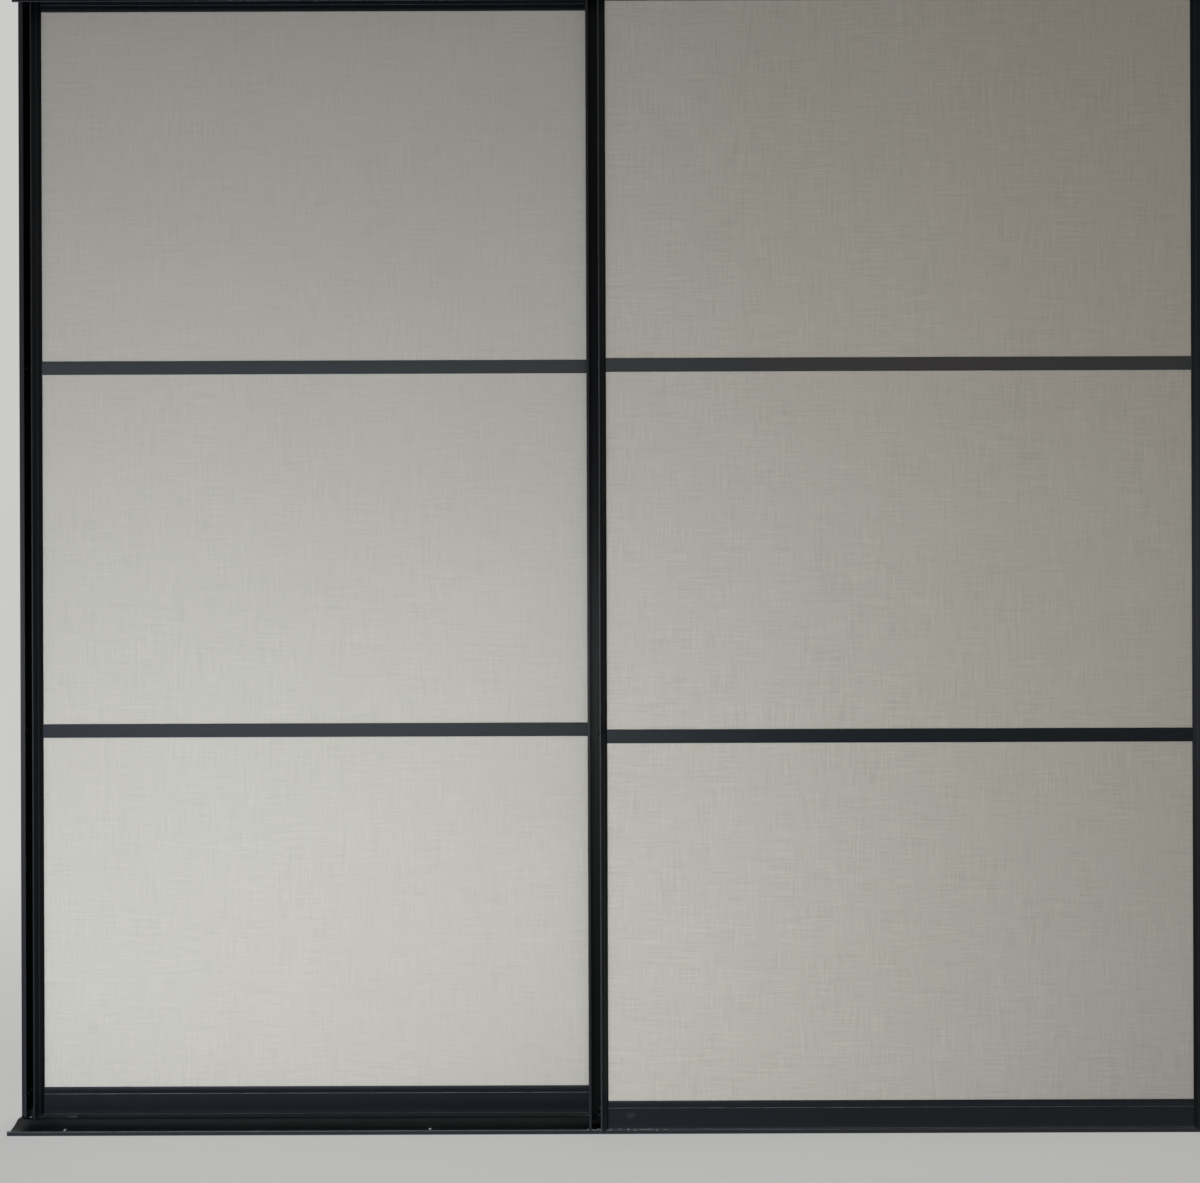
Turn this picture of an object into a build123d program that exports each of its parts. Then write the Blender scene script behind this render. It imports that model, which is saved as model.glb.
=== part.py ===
from build123d import *

import os
from math import sqrt

# A pair of framed sliding wardrobe doors with their upper and lower tracks.
# Sizes are in millimetres. X runs along the tracks, -Y is the front, Z is up.
# The origin is on the floor, under the middle of the frame.
# The left door runs on the rear track and the right door on the front track.

# How far a cut runs past the face it opens
over = 1.0

# Frame
frame_width = 2304.0
frame_height = 2210.0
track_pitch = 45.0
door_overlap = 90.0
side_gap = 9.0

# Upper track: a roof with three flanges
top_flange_depth = 41.0
top_roof = 2.3
top_flange = 1.8
top_tip_height = 3.0
top_tip_thickness = 2.6
top_tip_radius = 1.1

# Lower track: two shallow valleys between low lips
bottom_track_depth = 75.0
bottom_track_height = 8.0
bottom_lip = 2.2
bottom_lip_r = 1.4
valley_floor = 2.0
valley_radius = 45.0
crest_width = 5.0
crest_cell_half = 7.0
crest_cell_floor = 1.5
crest_cell_height = 3.4

# Fixing holes of the tracks and jambs
track_hole_r = 2.25
track_countersink_r = 4.0
track_hole_inset = 102.0
jamb_hole_r = 2.25
jamb_hole_side = 6.8
jamb_hole_inset = 205.0

# Side jambs: a shallow channel with a pile strip in it
jamb_depth = 22.0
jamb_base = 1.6
jamb_lip = 1.4
jamb_reach = 7.0
jamb_seal_base_width = 8.0
jamb_seal_base = 0.9
jamb_pile_width = 5.0
seal_clearance = 0.3

# Doors. Their depths are measured from the plane of their wheels.
door_floor_gap = 9.5
door_lift_room = 14.5
panel_depth = 13.0
panel_thickness = 10.0
panel_clearance = 0.1
panel_edge_gap = 3.0
stile_width = 37.0
stile_back = 10.0
stile_wall = 1.6
stile_corner_r = 1.2
lip_width = 5.5
lip_thickness = 3.0
lip_setback = 7.0
lip_radius = 1.3
profile_edge_r = 0.5
recess_width = 17.2
recess_corner_r = 3.0
ridge_proud = 14.4
ridge_width = 2.2
ridge_radius = 1.0
inner_face_drop = 12.8

# Rails
rail_proud = 2.0
rail_wall = 1.8
rail_return = 2.2
bottom_rail_height = 52.5
top_rail_height = 37.2
mid_rail_height = 26.0
pocket_depth = 12.5
bead_height = 10.0
bead_radius = 14.5
groove_height = 2.5
groove_depth = 0.8
rail_edge_r = 0.6
rail_foot_r = 1.4
pocket_back_wall = 1.6
pocket_back_drop = 2.0
mid_web = 2.0
mid_edge_r = 0.6

# Assembly screws and their ports in the rails
port_outer_r = 3.4
port_bore_r = 2.0
port_slot = 1.6
port_sink = 0.2
front_screw_y = -6.2
back_screw_y = 3.2
screw_r = 1.9
screw_hole_r = 1.95
screw_grip = 26.0
screw_head_r = 3.6
screw_head = 2.6
screw_socket_r = 1.5
screw_socket_depth = 1.6
access_r = 4.0

# Roller carriages
wheel_r = 18.0
wheel_width = 9.0
wheel_crown_r = 20.0
wheel_web = 5.4
wheel_rim = 3.0
wheel_hub_rim = 1.5
wheel_chamfer = 1.0
wheel_gap = 0.3
bearing_r = 9.5
bearing_width = 6.0
bearing_recess = 0.5
bearing_ring = 1.8
axle_r = 3.0
axle_clearance = 0.05
axle_head_r = 4.4
axle_head = 1.0
carriage_length = 86.0
carriage_height = 24.0
carriage_foot = 3.0
carriage_plate = 1.5
carriage_room = 0.5
carriage_tab = 3.0
carriage_corner_r = 5.0
wheel_inset = 52.0
wheel_window_room = 3.0
adjuster_r = 1.9
adjuster_head_r = 3.5
adjuster_head = 4.0
adjuster_y = 1.9
adjuster_z = 17.0
adjuster_grip = 23.0
adjuster_socket_r = 1.75
adjuster_socket_depth = 2.0

# Upper guides
guide_length = 62.0
guide_inset = 6.0
guide_clearance = 0.35
guide_nose_r = 12.0
guide_head = 9.0
guide_head_lift = 0.6
guide_neck_length = 44.0
guide_neck_clearance = 0.3
guide_screw_r = 1.8
guide_screw_head_r = 3.2
guide_screw_head = 1.4
guide_screw_grip = 9.0
guide_screw_spacing = 26.0
guide_screw_drop = 9.3
guide_socket_r = 1.2
guide_socket_depth = 0.7

# Pile strip between the doors
pile_base_width = 6.6
pile_base = 0.9
pile_width = 2.8
pile_end_gap = 6.0

# End stops in the open end of each upper channel
stop_length = 20.0
stop_height = 32.0
stop_clearance = 0.2
stop_edge_r = 4.0
buffer_length = 6.0
buffer_r = 9.0
buffer_dish = 1.5
buffer_cup_r = 4.5
stop_screw_r = 2.0
stop_screw_head_r = 3.8
stop_screw_head = 2.4
stop_screw_sink = 20.0
stop_screw_room = 0.3

# Derived places. The wheels run behind the middle of the upper channels,
# because the stiles reach further forward from the wheels than back.
panel_front = -panel_depth
stile_front = panel_front - ridge_proud
channel_shift = -(stile_front + stile_back) / 2
rear_y = track_pitch / 2 + channel_shift
front_y = -track_pitch / 2 + channel_shift
jamb_x = frame_width / 2
track_hole_span = frame_width - 2 * track_hole_inset
door_width = (frame_width - 2 * side_gap + door_overlap) / 2
roof_z = frame_height - top_roof
door_height = roof_z - door_lift_room - door_floor_gap
pocket_front = panel_front - panel_clearance
pocket_back = panel_front + panel_thickness + panel_clearance
panel_visible = (
    door_height - bottom_rail_height - top_rail_height - 2 * mid_rail_height
) / 3
rail_length = door_width - 2 * stile_width
ridge_x = lip_width + recess_width
pocket_x = ridge_x + ridge_width
recess_floor = stile_back - stile_wall
rail_front = panel_front - rail_proud
rail_back = stile_back
pocket_floor = bottom_rail_height - pocket_depth
rail_roof = pocket_floor - rail_wall
port_z = rail_roof - port_outer_r + port_sink
top_port_z = pocket_depth + rail_wall + port_outer_r - port_sink
axle_z = valley_floor + wheel_gap + wheel_r - door_floor_gap
wheel_x = stile_width + wheel_inset
guide_neck_back = rail_back - rail_wall - guide_neck_clearance


def span(x0, y0, x1, y1):
    """A flat rectangle between two corners, given in any order."""
    return Pos((x0 + x1) / 2, (y0 + y1) / 2) * Rectangle(abs(x1 - x0), abs(y1 - y0))


def block(x0, y0, z0, x1, y1, z1):
    """A solid block between two corners."""
    middle = Pos((x0 + x1) / 2, (y0 + y1) / 2, (z0 + z1) / 2)
    return middle * Box(x1 - x0, y1 - y0, z1 - z0)


def disc(x, y, radius):
    """A flat round disc."""
    return Pos(x, y) * Circle(radius)


def bar_x(x0, x1, y, z, radius):
    """A round bar along X."""
    return Pos((x0 + x1) / 2, y, z) * Rot(0, 90, 0) * Cylinder(radius, x1 - x0)


def bar_y(x, y0, y1, z, radius):
    """A round bar along Y."""
    return Pos(x, (y0 + y1) / 2, z) * Rot(90, 0, 0) * Cylinder(radius, y1 - y0)


def bar_z(x, y, z0, z1, radius):
    """A round bar along Z."""
    return Pos(x, y, (z0 + z1) / 2) * Cylinder(radius, z1 - z0)


def round_corners(section, points, radius):
    """Rounds the section's corners that lie at the given points."""
    corners = [section.vertices().sort_by_distance(Vector(*p, 0))[0] for p in points]
    return fillet(corners, radius)


def along_x(section, x0, length):
    """Extrudes a section drawn in Y and Z along X."""
    return Pos(x0, 0, 0) * extrude(Plane.YZ * section, length)


def valley_height(offset):
    """Height of the lower track's valley at a distance from its middle."""
    return valley_floor + valley_radius - sqrt(valley_radius**2 - offset**2)


def bottom_track_section():
    half = bottom_track_depth / 2
    section = span(-half, 0, half, bottom_track_height)
    for side in (-1, 1):
        room = span(side * crest_width / 2, 0, side * (half - bottom_lip), valley_radius)
        valley = disc(side * track_pitch / 2, valley_floor + valley_radius, valley_radius)
        section -= room & valley
    crest_z = valley_height((track_pitch - crest_width) / 2)
    section -= span(-crest_width / 2, crest_z, crest_width / 2, bottom_track_height + over)
    cell = Polyline(
        (-crest_cell_half, crest_cell_floor),
        (crest_cell_half, crest_cell_floor),
        (0, crest_cell_floor + crest_cell_height),
        close=True,
    )
    section -= make_face(cell)
    # The lips' outer edges are rounder than their inner ones
    for edge, radius in ((half, bottom_lip_r), (half - bottom_lip, profile_edge_r)):
        tops = [(side * edge, bottom_track_height) for side in (-1, 1)]
        section = round_corners(section, tops, radius)
    return section


def hole_places(middle_y):
    """The places of a track's fixing holes, along the middle of each channel."""
    places = []
    for span_x in (track_hole_span, track_hole_span / 3):
        for x in (-span_x / 2, span_x / 2):
            places += [(x, middle_y - track_pitch / 2), (x, middle_y + track_pitch / 2)]
    return places


def make_bottom_track():
    track = along_x(bottom_track_section(), -frame_width / 2, frame_width)
    track = Pos(0, channel_shift, 0) * track
    cone = track_countersink_r - track_hole_r
    for x, y in hole_places(channel_shift):
        track -= bar_z(x, y, -over, bottom_track_height, track_hole_r)
        sink = Cone(track_hole_r, track_countersink_r, cone)
        track -= Pos(x, y, valley_floor - cone / 2) * sink
        track -= bar_z(x, y, valley_floor, bottom_track_height, track_countersink_r)
    return track


def make_top_track():
    section = span(
        -track_pitch - top_flange / 2, roof_z, track_pitch + top_flange / 2, frame_height
    )
    low = frame_height - top_flange_depth
    for y in (-track_pitch, 0, track_pitch):
        section += span(y - top_flange / 2, low, y + top_flange / 2, roof_z)
        tip = span(
            y - top_tip_thickness / 2, low, y + top_tip_thickness / 2, low + top_tip_height
        )
        section += fillet(tip.vertices(), top_tip_radius)
    track = along_x(section, -frame_width / 2, frame_width)
    for x, y in hole_places(0):
        track -= bar_z(x, y, roof_z - over, frame_height + over, track_hole_r)
    for x, y in stop_places():
        track -= bar_z(x, y, roof_z - over, frame_height + over, stop_screw_r)
    return track


def make_jamb():
    """The left jamb, around its door's plane at y = 0. Its outer side is at x = 0."""
    half = jamb_depth / 2
    section = span(0, -half, jamb_base, half)
    for side in (-1, 1):
        section += span(0, side * (half - jamb_lip), jamb_reach, side * half)
    foot = valley_height(half)
    jamb = Pos(0, 0, foot) * extrude(section, roof_z - foot)
    for z in jamb_hole_heights():
        jamb -= bar_x(-over, jamb_base + over, jamb_hole_side, z, jamb_hole_r)
    return jamb


def jamb_hole_heights():
    return [jamb_hole_inset, frame_height - jamb_hole_inset]


def make_jamb_seal():
    """The pile strip that stands in the left jamb and meets the door's edge."""
    foot = valley_height(jamb_depth / 2)
    base = jamb_base + jamb_seal_base
    section = span(jamb_base, -jamb_seal_base_width / 2, base, jamb_seal_base_width / 2)
    tip = side_gap - seal_clearance
    section += span(base, -jamb_pile_width / 2, tip, jamb_pile_width / 2)
    return Pos(0, 0, foot) * extrude(section, roof_z - foot)


def stop_places():
    x = jamb_x - stop_length / 2
    return [(x, track_pitch / 2), (-x, -track_pitch / 2)]


def make_stop():
    """The stop at the right end of the rear channel, around the channel's middle."""
    half = (track_pitch - top_flange) / 2 - stop_clearance
    low = roof_z - stop_height
    stop = block(jamb_x - stop_length, -half, low, jamb_x, half, roof_z)
    edges = stop.edges().filter_by(Axis.Y).group_by(Axis.Z)[0]
    stop = fillet(edges, stop_edge_r)
    x = jamb_x - stop_length / 2
    stop -= bar_z(x, 0, low - over, low + stop_screw_sink, stop_screw_head_r + stop_screw_room)
    return stop - bar_z(x, 0, low, roof_z + over, stop_screw_r + stop_screw_room)


def stop_buffer_z():
    return door_floor_gap + door_height - buffer_r


def make_buffer():
    """A dished rubber buffer on the stop's face, level with the top of the stile."""
    face = jamb_x - stop_length
    tip = face - buffer_length
    z = stop_buffer_z()
    buffer = bar_x(tip, face, 0, z, buffer_r)
    buffer = fillet(buffer.edges().group_by(Axis.X)[0], buffer_dish)
    return buffer - bar_x(tip - over, tip + buffer_dish, 0, z, buffer_cup_r)


def make_stop_screws():
    screws = []
    low = roof_z - stop_height + stop_screw_sink
    for x, y in stop_places():
        shank = bar_z(x, y, low, frame_height, stop_screw_r)
        face = low - stop_screw_head
        head = bar_z(x, y, face, low, stop_screw_head_r)
        socket = bar_z(x, y, face - over, face + screw_socket_depth, screw_socket_r)
        screws.append(shank + head - socket)
    return screws


def stile_section():
    """The left stile's section: x from the outer side, y from the wheels' plane."""
    lip_front = stile_front + lip_setback
    inner_front = stile_front + inner_face_drop
    section = span(0, stile_front, stile_width, stile_back)
    # The front of the outer lip stands back from the ridge
    section -= span(-over, stile_front - over, ridge_x, lip_front)
    # The finger recess, reaching behind the lip
    recess = span(stile_wall, lip_front - over, ridge_x, recess_floor)
    section -= round_corners(recess, [(stile_wall, recess_floor)], recess_corner_r)
    lip = span(0, lip_front, lip_width, lip_front + lip_thickness)
    section += fillet(lip.vertices(), lip_radius)
    # The inner face slopes back from the ridge to the board
    slope = Polyline(
        (pocket_x, stile_front),
        (stile_width, inner_front),
        (stile_width + over, inner_front),
        (stile_width + over, stile_front - over),
        (pocket_x, stile_front - over),
        close=True,
    )
    section -= make_face(slope)
    # The hollow cell behind the sloping face
    run = stile_width - pocket_x
    wall_drop = stile_wall * sqrt(run**2 + inner_face_drop**2) / run
    cell_depth = inner_face_drop - wall_drop
    cell = Polyline(
        (pocket_x, inner_front - cell_depth),
        (pocket_x + cell_depth * run / inner_face_drop, inner_front),
        (pocket_x, inner_front),
        close=True,
    )
    section -= make_face(cell)
    # The pocket for the board's edge and the hollow chamber behind it
    section -= span(pocket_x, pocket_front, stile_width + over, pocket_back)
    chamber_front = pocket_back + stile_wall
    section -= span(pocket_x, chamber_front, stile_width - stile_wall, stile_back - stile_wall)
    section = round_corners(section, [(ridge_x, stile_front)], ridge_radius)
    section = round_corners(section, [(0, lip_front)], lip_radius)
    slope_ends = [(pocket_x, stile_front), (stile_width, inner_front)]
    section = round_corners(section, slope_ends, profile_edge_r)
    return round_corners(section, [(0, stile_back), (stile_width, stile_back)], stile_corner_r)


def rail_screws():
    """Height and depth of each assembly screw, from the door's foot to its top."""
    lower_mid = bottom_rail_height + panel_visible + mid_rail_height / 2
    upper_mid = lower_mid + mid_rail_height + panel_visible
    top = door_height - top_rail_height + top_port_z
    return [
        (port_z, front_screw_y),
        (port_z, back_screw_y),
        (lower_mid, front_screw_y),
        (upper_mid, front_screw_y),
        (top, front_screw_y),
        (top, back_screw_y),
    ]


def make_stile():
    """The left stile, with its outer side at x = 0 and its foot at z = 0."""
    stile = extrude(stile_section(), door_height)
    for z, y in rail_screws():
        stile -= bar_x(-over, stile_wall + over, y, z, access_r)
        stile -= bar_x(ridge_x - over, stile_width + over, y, z, screw_hole_r)
    stile -= bar_x(-over, stile_wall + over, adjuster_y, adjuster_z, access_r)
    hole_r = adjuster_r + axle_clearance
    return stile - bar_x(ridge_x - over, stile_width + over, adjuster_y, adjuster_z, hole_r)


def port_ring(y, z):
    return disc(y, z, port_outer_r)


def port_bore(y, z, side):
    """The bore of a screw port and the slot that opens it on one side."""
    slot = span(y - port_slot / 2, z, y + port_slot / 2, z + side * (port_outer_r + over))
    return disc(y, z, port_bore_r) + slot


def bottom_rail_section():
    """The bottom rail's section, drawn in Y and Z with its foot at z = 0."""
    inner_front = rail_front + rail_wall
    inner_back = rail_back - rail_wall
    section = span(rail_front, 0, rail_back, pocket_floor)
    section -= span(inner_front, -over, inner_back, rail_roof)
    section += span(inner_front, 0, inner_front + rail_return, rail_wall)
    section += span(inner_back, 0, inner_back - rail_return, rail_wall)
    for y in (front_screw_y, back_screw_y):
        section += port_ring(y, port_z)
    for y in (front_screw_y, back_screw_y):
        section -= port_bore(y, port_z, -1)
    section += pocket_walls(pocket_floor, bottom_rail_height)
    face_top = bottom_rail_height - bead_height - groove_height
    section = round_corners(section, [(rail_front, face_top)], rail_edge_r)
    return round_corners(section, [(rail_front, 0)], rail_foot_r)


def pocket_walls(low, high):
    """The bead in front of the board and the pocket's back wall, pointing up from low."""
    bead_low = high - bead_height
    front = span(rail_front + groove_depth, low - rail_wall, pocket_front, bead_low)
    front += span(rail_front, low - rail_wall, pocket_front, bead_low - groove_height)
    roll = disc(rail_front + bead_radius, high - bead_height / 2, bead_radius)
    front += span(rail_front, bead_low, pocket_front, high) & roll
    back = span(pocket_back, low, pocket_back + pocket_back_wall, high - pocket_back_drop)
    return front + back


def top_rail_section():
    """The top rail's section. It is the bottom rail's form, upside down and lower."""
    floor = pocket_depth
    section = span(rail_front, floor, rail_back, top_rail_height)
    section -= span(
        rail_front + rail_wall, floor + rail_wall, rail_back - rail_wall, top_rail_height + over
    )
    for y in (front_screw_y, back_screw_y):
        section += port_ring(y, top_port_z)
    for y in (front_screw_y, back_screw_y):
        section -= port_bore(y, top_port_z, 1)
    section += mirror(pocket_walls(-pocket_depth, 0), about=Plane.XZ)
    face_low = bead_height + groove_height
    section = round_corners(section, [(rail_front, face_low)], rail_edge_r)
    return round_corners(section, [(rail_front, top_rail_height)], rail_foot_r)


def mid_rail_section():
    """The cross rail's section: two pockets back to back around one screw port."""
    middle = mid_rail_height / 2
    section = span(rail_front, 0, pocket_back + pocket_back_wall, mid_rail_height)
    section -= span(pocket_front, -over, pocket_back, mid_rail_height + over)
    section += span(pocket_front, middle - mid_web / 2, pocket_back, middle + mid_web / 2)
    section += port_ring(front_screw_y, middle)
    section -= disc(front_screw_y, middle, port_bore_r)
    outer = [(rail_front, 0), (rail_front, mid_rail_height)]
    return round_corners(section, outer, mid_edge_r)


def make_panel(z0, height, low_seat, high_seat):
    """A board that reaches into the stiles' pockets and the rails' pockets."""
    inset = pocket_x + panel_edge_gap
    board = block(
        inset, panel_front, z0 - low_seat,
        door_width - inset, panel_front + panel_thickness, z0 + height + high_seat,
    )
    return board


def make_carriage():
    """The left roller carriage: a folded steel channel with a wheel window."""
    half_in = wheel_width / 2 + carriage_room
    half_out = half_in + carriage_plate
    x0 = stile_width
    x1 = x0 + carriage_length
    z0 = carriage_foot
    z1 = z0 + carriage_height
    body = block(x0, -half_out, z0, x1, half_out, z1)
    corners = body.edges().filter_by(Axis.Y).group_by(Axis.X)[-1]
    body = fillet(corners, carriage_corner_r)
    body -= block(x0 + carriage_tab, -half_in, z0 - over, x1 + over, half_in, z1 - carriage_plate)
    window = wheel_r + wheel_window_room
    body -= block(wheel_x - window, -half_in, z0, wheel_x + window, half_in, z1 + over)
    body -= bar_y(wheel_x, -half_out - over, half_out + over, axle_z, axle_r + axle_clearance)
    hole_r = adjuster_r + axle_clearance
    return body - bar_x(x0 - over, x0 + carriage_tab + over, adjuster_y, adjuster_z, hole_r)


def make_wheel():
    """A nylon wheel with a crowned tread, around the left axle."""
    half = wheel_width / 2
    drop = wheel_crown_r - sqrt(wheel_crown_r**2 - half**2)
    rim_in = wheel_r - wheel_rim
    hub = bearing_r + wheel_hub_rim
    web = wheel_web / 2
    side = Polyline(
        (half, wheel_r - drop),
        (half, rim_in),
        (web, rim_in - wheel_chamfer),
        (web, hub + wheel_chamfer),
        (bearing_width / 2, hub),
        (bearing_width / 2, bearing_r),
        (-bearing_width / 2, bearing_r),
        (-bearing_width / 2, hub),
        (-web, hub + wheel_chamfer),
        (-web, rim_in - wheel_chamfer),
        (-half, rim_in),
        (-half, wheel_r - drop),
    )
    tread = ThreePointArc((-half, wheel_r - drop), (0, wheel_r), (half, wheel_r - drop))
    profile = make_face(Wire(side.edges() + tread.edges()))
    return wheel_place() * revolve(profile, Axis.X)


def wheel_place():
    """Turns a shape made around X into the left wheel's place, around Y."""
    return Pos(wheel_x, 0, axle_z) * Rot(0, 0, 90)


def make_bearing():
    """The ball bearing in the wheel, with a groove between its rings on each side."""
    half = bearing_width / 2
    bore = axle_r + axle_clearance
    groove_in = bore + bearing_ring
    groove_out = bearing_r - bearing_ring
    profile = span(-half, bore, half, bearing_r)
    for side in (-1, 1):
        profile -= span(side * (half - bearing_recess), groove_in, side * (half + over), groove_out)
    return wheel_place() * revolve(profile, Axis.X)


def make_axle():
    """The left axle, riveted over both plates of its carriage."""
    half = wheel_width / 2 + carriage_room + carriage_plate
    axle = bar_y(wheel_x, -half, half, axle_z, axle_r)
    axle += bar_y(wheel_x, -half - axle_head, -half, axle_z, axle_head_r)
    return axle + bar_y(wheel_x, half, half + axle_head, axle_z, axle_head_r)


def make_adjuster():
    """The left adjusting screw, from the finger recess into the carriage."""
    tip = stile_width + adjuster_grip
    screw = bar_x(ridge_x, tip, adjuster_y, adjuster_z, adjuster_r)
    face = ridge_x - adjuster_head
    screw += bar_x(face, ridge_x, adjuster_y, adjuster_z, adjuster_head_r)
    socket = Pos(adjuster_y, adjuster_z) * RegularPolygon(adjuster_socket_r, 6)
    return screw - along_x(socket, face - over, over + adjuster_socket_depth)


def make_assembly_screw(z, y):
    """A long screw from the finger recess into a rail's port."""
    screw = bar_x(ridge_x, stile_width + screw_grip, y, z, screw_r)
    face = ridge_x - screw_head
    screw += bar_x(face, ridge_x, y, z, screw_head_r)
    return screw - bar_x(face - over, face + screw_socket_depth, y, z, screw_socket_r)


def guide_middle():
    return stile_width + guide_inset + guide_length / 2


def make_guide():
    """The left nylon guide: a neck in the top rail and a head between the flanges."""
    x = guide_middle()
    port_top = door_height - top_rail_height + top_port_z + port_outer_r
    neck_front = rail_front + rail_wall + guide_neck_clearance
    neck = block(
        x - guide_neck_length / 2, neck_front, port_top + guide_neck_clearance,
        x + guide_neck_length / 2, guide_neck_back, door_height + guide_head_lift,
    )
    head_half = (track_pitch - top_flange) / 2 - guide_clearance
    outline = fillet(Rectangle(guide_length, 2 * head_half).vertices(), guide_nose_r)
    head = extrude(outline, guide_head)
    guide = neck + Pos(x, -channel_shift, door_height + guide_head_lift) * head
    tip = guide_neck_back - guide_screw_grip
    for place in guide_screw_places():
        guide -= bar_y(place, tip, guide_neck_back + over, guide_screw_z(), guide_screw_r)
    return guide


def guide_screw_places():
    x = guide_middle()
    return [x - guide_screw_spacing / 2, x + guide_screw_spacing / 2]


def guide_screw_z():
    return door_height - guide_screw_drop


def make_guide_screws():
    """The screws through the top rail's back wall into the left guide."""
    tip = guide_neck_back - guide_screw_grip
    face = rail_back + guide_screw_head
    screws = []
    for x in guide_screw_places():
        shank = bar_y(x, tip, rail_back, guide_screw_z(), guide_screw_r)
        head = bar_y(x, rail_back, face, guide_screw_z(), guide_screw_head_r)
        socket = bar_y(x, face - guide_socket_depth, face + over, guide_screw_z(), guide_socket_r)
        screws.append(shank + head - socket)
    return screws


def make_top_rail():
    rail = along_x(top_rail_section(), stile_width, rail_length)
    rail = Pos(0, 0, door_height - top_rail_height) * rail
    inner = rail_back - rail_wall
    for x in guide_screw_places():
        for place in (x, door_width - x):
            rail -= bar_y(place, inner - over, rail_back + over, guide_screw_z(), guide_screw_r)
    return rail


def make_meeting_seal():
    """The pile strip on the back of the front door's left stile."""
    tip = stile_front + track_pitch - seal_clearance
    middle = ridge_x + ridge_width / 2
    base = stile_back + pile_base
    section = span(middle - pile_base_width / 2, stile_back, middle + pile_base_width / 2, base)
    section += span(middle - pile_width / 2, base, middle + pile_width / 2, tip)
    top = frame_height - top_flange_depth - door_floor_gap - pile_end_gap
    return Pos(0, 0, pile_end_gap) * extrude(section, top - pile_end_gap)


def to_right(shape):
    """Mirrors a left piece to the door's right side."""
    return Pos(door_width, 0, 0) * mirror(shape, about=Plane.YZ)


def door_parts():
    """Every piece of one door, with its lower left corner at the origin."""
    stile = make_stile()
    carriage = make_carriage()
    wheel = make_wheel()
    bearing = make_bearing()
    axle = make_axle()
    adjuster = make_adjuster()
    guide = make_guide()
    screws = [make_assembly_screw(z, y) for z, y in rail_screws()]
    guide_screws = make_guide_screws()
    low_1 = bottom_rail_height
    low_2 = low_1 + panel_visible + mid_rail_height
    low_3 = low_2 + panel_visible + mid_rail_height
    mid_seat = mid_rail_height / 2 - port_outer_r - panel_clearance
    rail_seat = pocket_depth - panel_clearance
    mid_rail = along_x(mid_rail_section(), stile_width, rail_length)
    return {
        "left_stile": stile,
        "right_stile": to_right(stile),
        "bottom_rail": along_x(bottom_rail_section(), stile_width, rail_length),
        "lower_mid_rail": Pos(0, 0, low_2 - mid_rail_height) * mid_rail,
        "upper_mid_rail": Pos(0, 0, low_3 - mid_rail_height) * mid_rail,
        "top_rail": make_top_rail(),
        "bottom_panel": make_panel(low_1, panel_visible, rail_seat, mid_seat),
        "middle_panel": make_panel(low_2, panel_visible, mid_seat, mid_seat),
        "top_panel": make_panel(low_3, panel_visible, mid_seat, rail_seat),
        "left_roller_carriage": carriage,
        "right_roller_carriage": to_right(carriage),
        "left_wheel": wheel,
        "right_wheel": to_right(wheel),
        "left_wheel_bearing": bearing,
        "right_wheel_bearing": to_right(bearing),
        "wheel_axles": [axle, to_right(axle)],
        "adjusting_screws": [adjuster, to_right(adjuster)],
        "left_top_guide": guide,
        "right_top_guide": to_right(guide),
        "assembly_screws": screws + [to_right(s) for s in screws],
        "guide_screws": guide_screws + [to_right(s) for s in guide_screws],
    }


def save(name, shape, place):
    """Writes one node, moved to its place. A group of pieces becomes one compound."""
    pieces = shape if isinstance(shape, list) else [shape]
    solids = [solid for piece in pieces for solid in (place * piece).solids()]
    export_step(solids[0] if len(solids) == 1 else Compound(solids), f"parts/{name}.step")


def main():
    os.makedirs("parts", exist_ok=True)
    here = Pos(0, 0, 0)
    save("bottom_track", make_bottom_track(), here)
    save("top_track", make_top_track(), here)

    jamb_left = Pos(-jamb_x, rear_y, 0)
    jamb_right = Pos(jamb_x, front_y, 0)
    save("left_jamb", make_jamb(), jamb_left)
    save("right_jamb", mirror(make_jamb(), about=Plane.YZ), jamb_right)
    save("left_jamb_seal", make_jamb_seal(), jamb_left)
    save("right_jamb_seal", mirror(make_jamb_seal(), about=Plane.YZ), jamb_right)

    rear_channel = Pos(0, track_pitch / 2, 0)
    front_channel = Pos(0, -track_pitch / 2, 0)
    save("rear_stop", make_stop(), rear_channel)
    save("front_stop", mirror(make_stop(), about=Plane.YZ), front_channel)
    save("rear_stop_buffer", make_buffer(), rear_channel)
    save("front_stop_buffer", mirror(make_buffer(), about=Plane.YZ), front_channel)
    save("stop_screws", make_stop_screws(), here)

    rear_place = Pos(-jamb_x + side_gap, rear_y, door_floor_gap)
    front_place = Pos(jamb_x - side_gap - door_width, front_y, door_floor_gap)
    pieces = door_parts()
    for door, place in (("rear", rear_place), ("front", front_place)):
        for name, shape in pieces.items():
            save(f"{door}_{name}", shape, place)
    save("front_meeting_seal", make_meeting_seal(), front_place)


main()
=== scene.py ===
"""A pair of framed sliding wardrobe doors: finishes, pile strips, screws, dust and a plain stage."""

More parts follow.
